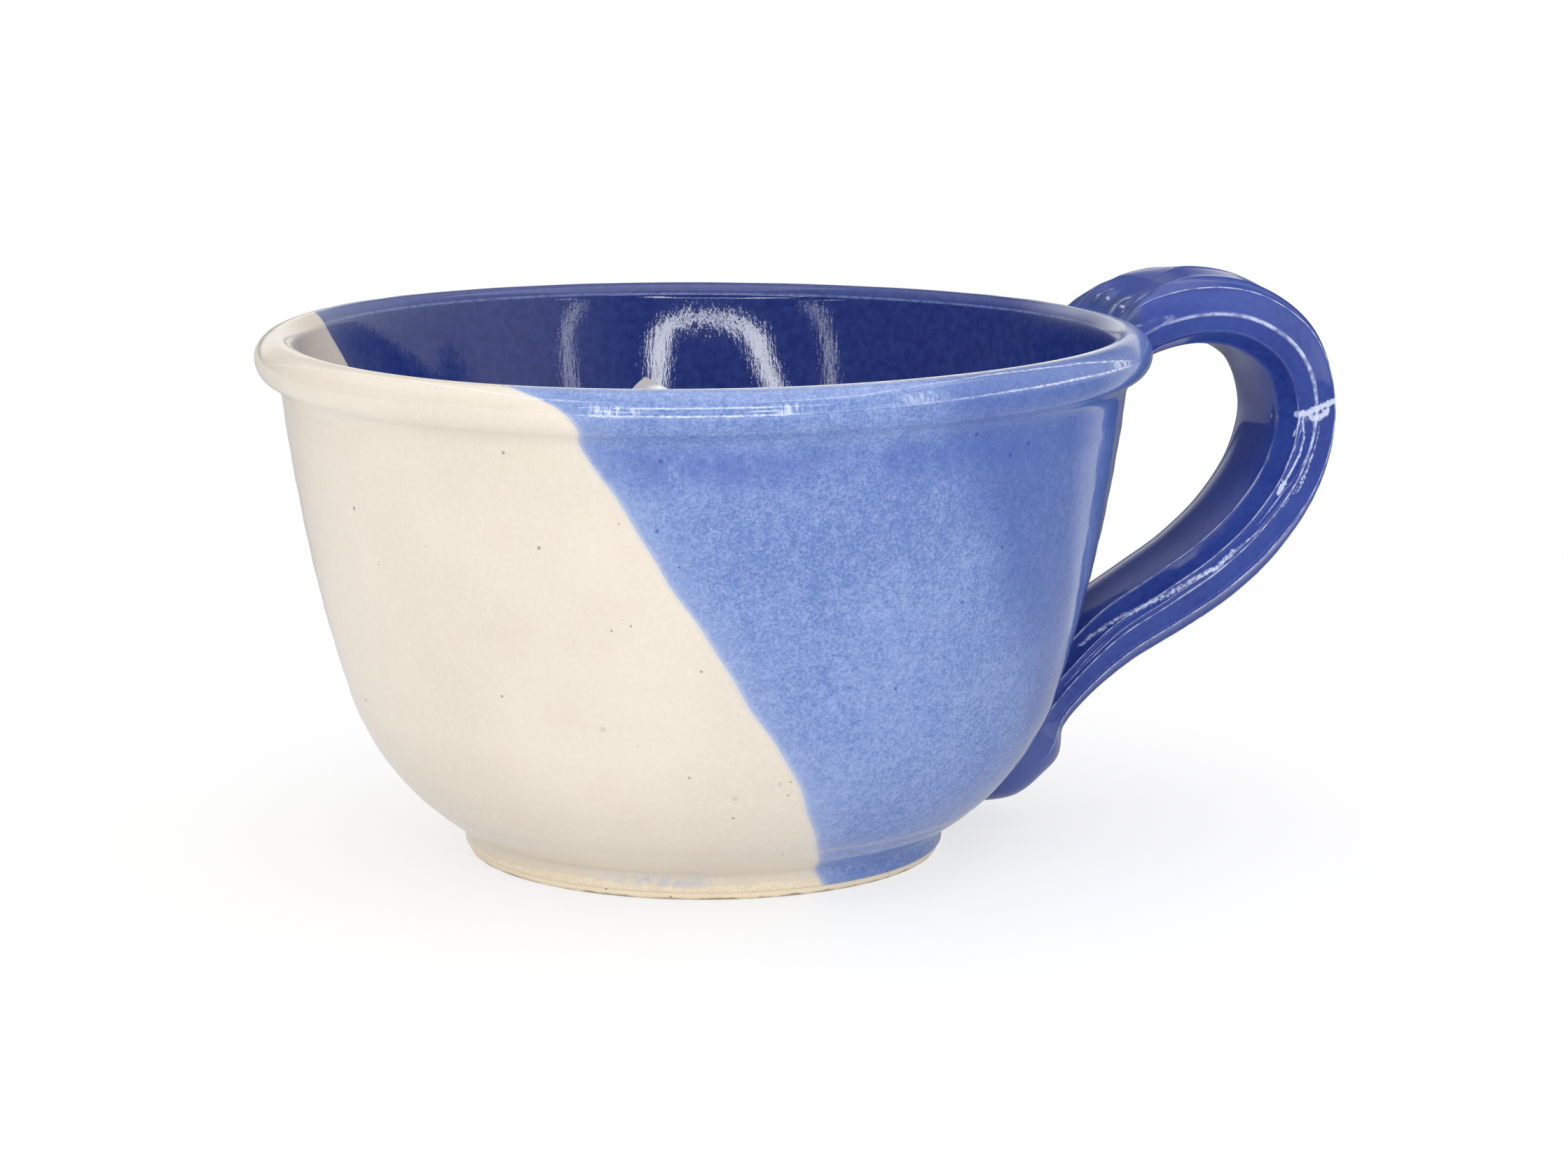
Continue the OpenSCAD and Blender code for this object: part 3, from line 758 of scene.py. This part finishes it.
def through(v, s):
    """Smooth curve through the values v at whole numbers, read at s (Catmull-Rom)."""
    i = np.floor(s).astype(int)
    u = (s - i)[:, None] if v.ndim > 1 else s - i
    a, b, c, d = (v[np.clip(i + k, 0, len(v) - 1)] for k in (-1, 0, 1, 2))
    bend, twist = 2 * a - 5 * b + 4 * c - d, 3 * b - a - 3 * c + d
    return 0.5 * (2 * b + (c - a) * u + bend * u ** 2 + twist * u ** 3)


def from_wall(p):
    """Distance of points from the outside of the bowl, less than nothing inside its wall, and the direction
    away from the nearest place on it, as (radius, height)."""
    line = bowl_line(0.0, 0.5)
    line = line[:int(np.argmax(line[:, 1])) + 6]
    n = line_normals(line)
    q = np.stack([np.hypot(p[..., 0], p[..., 1]).ravel(), p[..., 2].ravel()], 1)
    out, way = np.empty(len(q)), np.empty((len(q), 2))
    batch = 4000   # points measured at a time
    for k in range(0, len(q), batch):
        d = q[k:k + batch, None] - line
        j = (d ** 2).sum(-1).argmin(1)
        out[k:k + batch] = (d[np.arange(len(j)), j] * n[j]).sum(1)
        way[k:k + batch] = n[j]
    return out.reshape(p.shape[:-1]), way.reshape(p.shape[:-1] + (2,))


def moved_out(pts, times, up=0):
    """Points with their distance from the bowl's axis multiplied and their height raised."""
    return np.stack([pts[..., 0] * times, pts[..., 1] * times, pts[..., 2] + up], -1)


def buried(pts):
    """Draws what lies too deep in the bowl's wall back out, to SUNK under its outside."""
    d, way = from_wall(pts)
    push = np.clip(-SUNK - d, 0, None)
    r = np.hypot(pts[..., 0], pts[..., 1])
    return moved_out(pts, (r + way[..., 0] * push) / r, way[..., 1] * push)


def rubbed_and_highlit(pts):
    """How strongly the pale streaks, painted highlights partly on thinned glaze, lie at the points: the
    strongest of the strokes of RUBBED_AND_HIGHLIT, each fading over its width."""
    flat = pts.reshape(-1, 3)
    out = np.zeros(len(flat))
    for line, wide, strong in RUBBED_AND_HIGHLIT:
        for a, b in zip(np.array(line[:-1]), np.array(line[1:])):
            t = np.clip((flat - a) @ (b - a) / ((b - a) @ (b - a)), 0, 1)
            d = np.linalg.norm(flat - a - t[:, None] * (b - a), axis=1)
            out = np.maximum(out, strong * bell(d, 0, wide))
    return out.reshape(pts.shape[:-1])


def strap(s, flute, u, deg, reach, fade):
    """The pulled strap at the places s of its line: a squarish oval, its half width and half thickness less
    the depth of the flutes, which are hollow between the ridges with a fine bead along each, and the ridges
    of the near side drawn round a little over the arch. Returns its points and its directions away from its
    middle."""
    c = through(SPINE, s)
    t = np.gradient(c, axis=0)
    t /= np.linalg.norm(t, axis=1)[:, None]
    shift = np.interp(s, (1.5, 3.2, 5.5, 8.0), (12, 15, 21, 0))[:, None]
    a = np.radians(deg + shift * bell(deg, 24, 28))
    depth = (FLUTES[flute] * (1 - (2 * u - 1) ** 2) - BEAD * bell(reach, 0, BEAD_WIDE)) * fade
    across = (through(WIDTH, s)[:, None] / 2 - depth) * np.sign(np.cos(a)) * np.abs(np.cos(a)) ** SQUARE
    rise = (through(THICK, s)[:, None] / 2 - depth) * np.sign(np.sin(a)) * np.abs(np.sin(a)) ** SQUARE
    pts = np.stack([c[:, :1] - t[:, 1:] * rise, -across, c[:, 1:] + t[:, :1] * rise], -1)
    middle = np.stack([c[:, 0], 0 * c[:, 0], c[:, 1]], -1)[:, None]
    away = (pts - middle) / (np.linalg.norm(pts - middle, axis=-1, keepdims=True) + 1e-9)
    return pts, away


def kneaded(pts, away, s):
    """Lumps where the root and the tail were pressed on, and a faint unevenness all along."""
    root = bell(s, 1.3, 0.8)[:, None] * 0.22 * wobble(pts, waves(21, 16, 3.0, 7))
    tail = bell(s, 14.2, 1.2)[:, None] * 0.25 * wobble(pts, waves(22, 16, 5, 12))
    return pts + away * (root + tail + 0.07 * wobble(pts, waves(23, 16, 9, 30)))[..., None]


def pressed_on(pts, root):
    """Draws the root's top smoothly under the lip, and raises dimpled clay round each finger mark."""
    r = np.hypot(pts[..., 0], pts[..., 1])
    blend = 0.35
    over = (pts[..., 2] - np.interp(r, *ROOT_TOP)) / blend
    pts[..., 2] -= blend * np.logaddexp(0, over) * root
    for x, y, z, high in PRESSED:
        near = np.linalg.norm(pts - np.array((x, y, z)), axis=-1)
        pts[..., 2] += high * (bell(near, 0, 1.5) - 0.5 * bell(near, 0, 0.7)) * root
    return pts


def filleted(pts, away, s):
    """Swells the strap where it meets the wall, by a quarter circle of the fillet's radius."""
    d = np.clip(from_wall(pts)[0], 0, None)
    near = np.clip(FILLET - d, 0, FILLET)
    swell = FILLET - np.sqrt(np.clip(FILLET ** 2 - near ** 2, 0, None))
    return pts + away * (0.7 * swell * np.clip((s - 2.6) / 1.0, 0, 1)[:, None])[..., None]


def handle_piece(mat):
    """The pulled strap with its flutes and ridges, pressed on and smeared under the lip, thumbed flat at its
    tail, and filleted into the wall. The columns run the other way round, so that faces look outwards."""
    s = np.linspace(0, len(SPINE) - 1, ROWS)
    flute = np.repeat(np.arange(len(FLUTES)), COLS_PER_FLUTE)
    share = np.tile(np.arange(COLS_PER_FLUTE) / COLS_PER_FLUTE, len(FLUTES))
    u = share - 0.14 * np.sin(FULL * share)
    wide = RIDGES[flute + 1] - RIDGES[flute]
    deg = RIDGES[flute] + u * wide
    reach = np.minimum(u, 1 - u) * wide
    fade = (np.clip((s - 1.6) / 1.6, 0, 1) * np.clip((14.4 - s) / 1.6, 0, 1))[:, None]
    root = (s < ROOT_END)[:, None]
    pts, away = strap(s, flute, u, deg, reach, fade)
    pts = pressed_on(kneaded(pts, away, s), root)
    pts = filleted(pts, away, s)
    r = np.hypot(pts[..., 0], pts[..., 1])
    pts = buried(moved_out(pts, np.maximum(r, np.interp(pts[..., 2], *DEEPEST)) / r))
    nearest = np.where(u < 0.5, flute, flute + 1)
    # which ridges carry the painted highlight lines, and where along the strap
    shown = (np.abs(deg - 90) > 25) * fade
    shown = shown * np.where(np.isin(nearest, (1, 4)), step(s, 5.4, 6.4)[:, None], 1.0)
    shown = shown * np.where(np.isin(nearest, (0, len(FLUTES))), 0.7 * step(s, 6.4, 7.4)[:, None], 1.0)
    fields = {"ridge": np.broadcast_to(reach * 0.155, shown.shape),
              "shown": shown,
              # the crease where the root meets the lip, darkened as painted shade
              "pool_and_crease_shade": bell(r, 64.2, 1.3) * root * step(pts[..., 2], 74, 77),
              "rubbed_and_highlit": rubbed_and_highlit(pts),
              "foot": np.broadcast_to(step(s, 12.0, 14.0)[:, None], shown.shape)}
    fields = {name: v[:, ::-1] for name, v in fields.items()}
    return piece("pulled_handle", pts[:, ::-1], mat, ring=True, caps=True, fields=fields)


# The pale tongue on the inside wall

PEAK_TURN = math.radians(80.6)
PEAK_H = 61.9   # height of the tongue's tip
PEAK_END = 7.0   # how far short of the bowl's axis the tongue ends
PEAK_LEFT, PEAK_RIGHT = (12, 11.8), (18, 10.7)   # how wide each side grows, and over what length
PEAK_STRAIGHT = 36   # length down from the peak at which the end begins to round
PEAK_LIFT = 0.06   # how far it stands off the coat


def peak_piece(mat):
    """A pale tongue left in the blue on the inside: rows from its peak down the wall and over the floor,
    each between a left and a right edge that spread like a bell's sides and draw together in a round end,
    laid a hair's breadth over the coat."""
    line = bowl_line(0.0)
    inner = line[int(np.argmax(line[:, 1])):]
    along = length_along(inner)
    top = np.interp(-PEAK_H, -inner[:, 1], along)
    reach = along[-1] - PEAK_END - top
    down = np.r_[np.linspace(0, 5.6, 60), np.linspace(6.0, reach - 0.1, 90)]
    r, z = np.interp(top + down, along, inner[:, 0]), np.interp(top + down, along, inner[:, 1])
    tip = 1 - np.exp(-down / 0.35) * 0.5
    end = np.sqrt(1 - np.clip((down - PEAK_STRAIGHT) / (reach - PEAK_STRAIGHT), 0, 1) ** 2)
    left, right = (wide * (1 - np.exp(-(down / over) ** 0.9)) * tip * end
                   for wide, over in (PEAK_LEFT, PEAK_RIGHT))
    across = -right[:, None] + (left + right)[:, None] * np.linspace(0, 1, 60)
    turn = PEAK_TURN + across / r[:, None]
    pts = thrown(np.stack([r, z], 1)[::-1], turn[::-1])[::-1]
    steep = np.clip((z - 6.5) / 12, 0, 1)[:, None]
    inward = np.stack([-np.cos(turn) * steep, -np.sin(turn) * steep, 1 - 0.8 * steep + 0 * turn], -1)
    return piece("pale_tongue", (pts + inward * PEAK_LIFT)[:, ::-1], mat)


# Lamps

def turned(x, y, z):
    """A place given with the photograph's right as x and away from the camera as y, in the row's frame."""
    c, s = math.cos(-HANDLE_TURN), math.sin(-HANDLE_TURN)
    return (x * c - y * s, x * s + y * c, z)


def area(name, place, aim, wide, high, power):
    """A rectangular lamp that shines from a place towards another, not seen itself."""
    lamp = bpy.data.lights.new(name, "AREA")
    lamp.shape = "RECTANGLE"
    lamp.size = wide
    lamp.size_y = high
    lamp.energy = power
    ob = bpy.data.objects.new(name, lamp)
    ob.location = place
    ob.visible_camera = False
    ob.rotation_mode = "QUATERNION"
    ob.rotation_quaternion = (Vector(aim) - Vector(place)).to_track_quat("-Z", "Y")
    bpy.context.collection.objects.link(ob)


def strip(name, y, z, wide, high, glow):
    """A level strip of lamps in front of the mug; glow is how many times white it shines."""
    area(name, turned(0, y, z), turned(0, 0, z), wide, high, glow * math.pi * wide * high)


LAMP_RING = 620   # the ribbons of light stand on a circle of this radius round the mug
ARCH_EDGES = ((19.3, 262, 14.6, 262), (19.3, 240, 13.0, 240), (19.6, 225, 11.8, 225),
              (19.7, 214, 11.0, 214), (18.6, 204.5, 10.6, 208), (14.6, 196.5, 9.4, 204.4),
              (8.4, 193.2, 6.0, 201.8), (0, 192.1, 0, 200.9), (-8, 193.9, -5.1, 202.4),
              (-14.6, 196.9, -8.6, 205.4), (-18.8, 203.6, -11.2, 210.5), (-20.9, 213.4, -12.8, 216.5),
              (-23.3, 225.4, -15.0, 226.5), (-25.8, 240, -17.8, 238), (-29.5, 262, -22.6, 258))
LEFT_EDGES = ((39.7, 174.5, 37.3, 177), (43.2, 177.2, 40.4, 181.5), (45.7, 183.1, 42.2, 186.9),
              (46.9, 191.2, 43.2, 194), (47.3, 201.1, 43.4, 204.3), (46.4, 220.1, 42.9, 223.4),
              (45.8, 240, 42.2, 243))
RIGHT_EDGES = ((-30, 178.1, -28.6, 180.6), (-33.8, 179.2, -32.4, 183.3), (-37.6, 185.5, -34.9, 188.6),
               (-39.8, 194.6, -36.5, 196.9), (-41.2, 205.3, -37.7, 208), (-42.5, 218.7, -38.6, 222.1),
               (-44.4, 240, -40.6, 243))
SIDE_EDGES = ((51.0, 90, 53.5, 92), (53.4, 92, 56, 95), (58, 97, 60.5, 101), (65.5, 105, 66.8, 109))


def glow_material(name, strength):
    """A material that only shines."""
    shine = bpy.data.materials.new(name)
    shine.use_nodes = True
    lit = Shading(shine.node_tree)
    lit.tree.nodes.remove(lit.tree.nodes["Principled BSDF"])
    emission = lit.node("ShaderNodeEmission", sockets={"Strength": strength})
    lit.plug(lit.tree.nodes["Material Output"].inputs["Surface"], emission)
    return shine


def ribbon(name, edges, glow):
    """A bent ribbon of light: a smooth curve through rows of (angle of one edge, its height, angle of the
    other edge, its height), in degrees from the camera's side and mm, with its edges drawn a little together
    and made uneven; seen only in the glaze."""
    rows = np.array(edges, float)
    s = np.linspace(0, len(rows) - 1, 8 * len(rows))
    rows = through(rows, s)
    drawn_in, uneven = 0.13, 0.22
    rows -= (rows - rows[:, [2, 3, 0, 1]]) * drawn_in
    rows[:, :2] += uneven * np.sin(s * 2.9)[:, None] * np.array([1.0, 2.0])
    pts = []
    for angle, high in ((rows[:, 0], rows[:, 1]), (rows[:, 2], rows[:, 3])):
        x, y = LAMP_RING * np.sin(np.radians(angle)), -LAMP_RING * np.cos(np.radians(angle))
        pts.append(np.stack(turned(x, y, high), -1))
    ob = piece(name, np.stack(pts, 1), glow_material(name, glow))
    ob.visible_camera = False
    ob.visible_shadow = False


# Table, room and camera

def table_piece():
    """A white table that keeps the object's shadow: paper mixed with a glow, more of it away from the
    object. In the glaze the glow is dimmer towards the right and the back, but for one wedge behind."""
    paper = Paint("paper", Roughness=0.9, Base_Color=(0.93, 0.93, 0.93))
    x, y, _ = paper.parts(paper.place)
    camera_ray, mirror_ray = paper.rays()
    away = (x * x + y * y) ** 0.5
    rightward, behind = paper.rightward_and_back(x, y)
    dim = (0.12 + rightward.ramp(-0.20, 0.20) * 0.55 + behind.ramp(0.0, 0.25) * 0.30).math("MINIMUM", 0.80)
    wall_edge = 0.057   # how far right the mug's wall stands, in metres
    slant = (rightward - wall_edge).math("DIVIDE", behind.math("MAXIMUM", 0.02))
    wedge = slant.ramp(0.40, 0.55) * (1.0 - slant.ramp(0.8, 2.2)) * behind.ramp(0.05, 0.12)
    strength = 1.0 - mirror_ray * dim * (1.0 - wedge * 0.95)
    glow = paper.node("ShaderNodeEmission", sockets={"Strength": strength})
    seen = camera_ray + mirror_ray * 1.15 + (1.0 - camera_ray - mirror_ray) * 0.30
    factor = seen * (away.ramp(0.10, 0.32) * 0.30 + 0.70)
    matt = Value(paper, paper.shader.outputs[0])
    blend = paper.node("ShaderNodeMixShader", sockets={0: factor, 1: matt, 2: glow})
    paper.plug(paper.tree.nodes["Material Output"].inputs["Surface"], blend)
    half = 6
    me = bpy.data.meshes.new("table")
    corners = [(-half, -half, 0), (half, -half, 0), (half, half, 0), (-half, half, 0)]
    me.from_pydata(corners, [], [(0, 1, 2, 3)])
    me.materials.append(paper.mat)
    ob = bpy.data.objects.new("table", me)
    bpy.context.collection.objects.link(ob)
    return ob


def light_room():
    """The room: white to the camera, an even light, and in the glaze brighter to the right, above and low
    behind."""
    world = bpy.data.worlds.new("studio")
    world.use_nodes = True
    room = Shading(world.node_tree)
    x, y, upward = room.parts(room.node("ShaderNodeTexCoord", "Generated"))
    camera_ray, mirror_ray = room.rays()
    rightward, backward = room.rightward_and_back(x, y)
    backdrop = backward.ramp(0.78, 0.94) * upward.ramp(0.03, 0.10) * (1.0 - upward.ramp(0.14, 0.40)) * 0.75
    shine = rightward.ramp(0.30, 0.95) * 0.90 + upward.ramp(0.35, 0.85) * 0.80 + backdrop + 0.13
    others = (1.0 - camera_ray - mirror_ray) * 0.91
    strength = (camera_ray + mirror_ray * shine.math("MINIMUM", 1.0) + others).math("MINIMUM", 1.0)
    background = room.tree.nodes["Background"]
    background.inputs["Color"].default_value = (1, 1, 1, 1)
    room.plug(background.inputs["Strength"], strength)
    bpy.context.scene.world = world


FRAME_PX, FOCAL_PX, SENSOR_MM = 2238, 6125.94, 36.0
ELEVATION, ROLL = 0.1846, 0.0046   # radians
DISTANCE = 0.629288
AIM = (0.011727, 0, 0.039666)


def place_camera():
    """The photograph's camera, which looks at AIM from in front and a little above."""
    lens = bpy.data.cameras.new("camera")
    lens.sensor_fit = "HORIZONTAL"
    lens.sensor_width = SENSOR_MM
    lens.lens = FOCAL_PX / FRAME_PX * SENSOR_MM
    lens.clip_start = 0.01
    lens.clip_end = 50
    camera = bpy.data.objects.new("camera", lens)
    bpy.context.collection.objects.link(camera)
    back = Vector(turned(0, -math.cos(ELEVATION), math.sin(ELEVATION)))
    right = Vector(turned(1, 0, 0))
    look = Matrix((right, back.cross(right), back)).transposed()
    camera.location = Vector(turned(*AIM)) + back * DISTANCE
    camera.rotation_mode = "QUATERNION"
    camera.rotation_quaternion = (look @ Matrix.Rotation(ROLL, 3, "Z")).to_quaternion()
    bpy.context.scene.camera = camera


# The picture

cream = cream_glaze()
body = clay_piece(bare_clay())
cream_coat, blue_coat = glaze_pieces(cream, blue_glaze())
handle = handle_piece(cobalt_glaze())
peak = peak_piece(cream)
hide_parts("clay_bowl")
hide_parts("cream_coat")
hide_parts("blue_coat")
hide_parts("handle_strap", "handle_root", "handle_tail")
for ob, slot in ((body, "bare_clay"), (cream_coat, "cream_glaze"), (blue_coat, "blue_glaze"),
                 (handle, "cobalt_glaze"), (peak, "cream_glaze")):
    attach(ob, "root")

area("top_box", turned(0.15, 0.0, 1.0), (0, 0, 0.04), 1.0, 0.8, 3.0)
for name, edges, glow in (("light_arch", ARCH_EDGES, 14), ("light_left", LEFT_EDGES, 6),
                          ("light_right", RIGHT_EDGES, 6), ("light_side", SIDE_EDGES, 6)):
    ribbon(name, edges, glow)
strip("bar_high", -0.55, 0.42, 0.70, 0.026, 12)
strip("bar_low", -0.26, 0.012, 0.70, 0.004, 8)
table_piece()
light_room()
place_camera()
bpy.context.scene.view_settings.view_transform = "Standard"
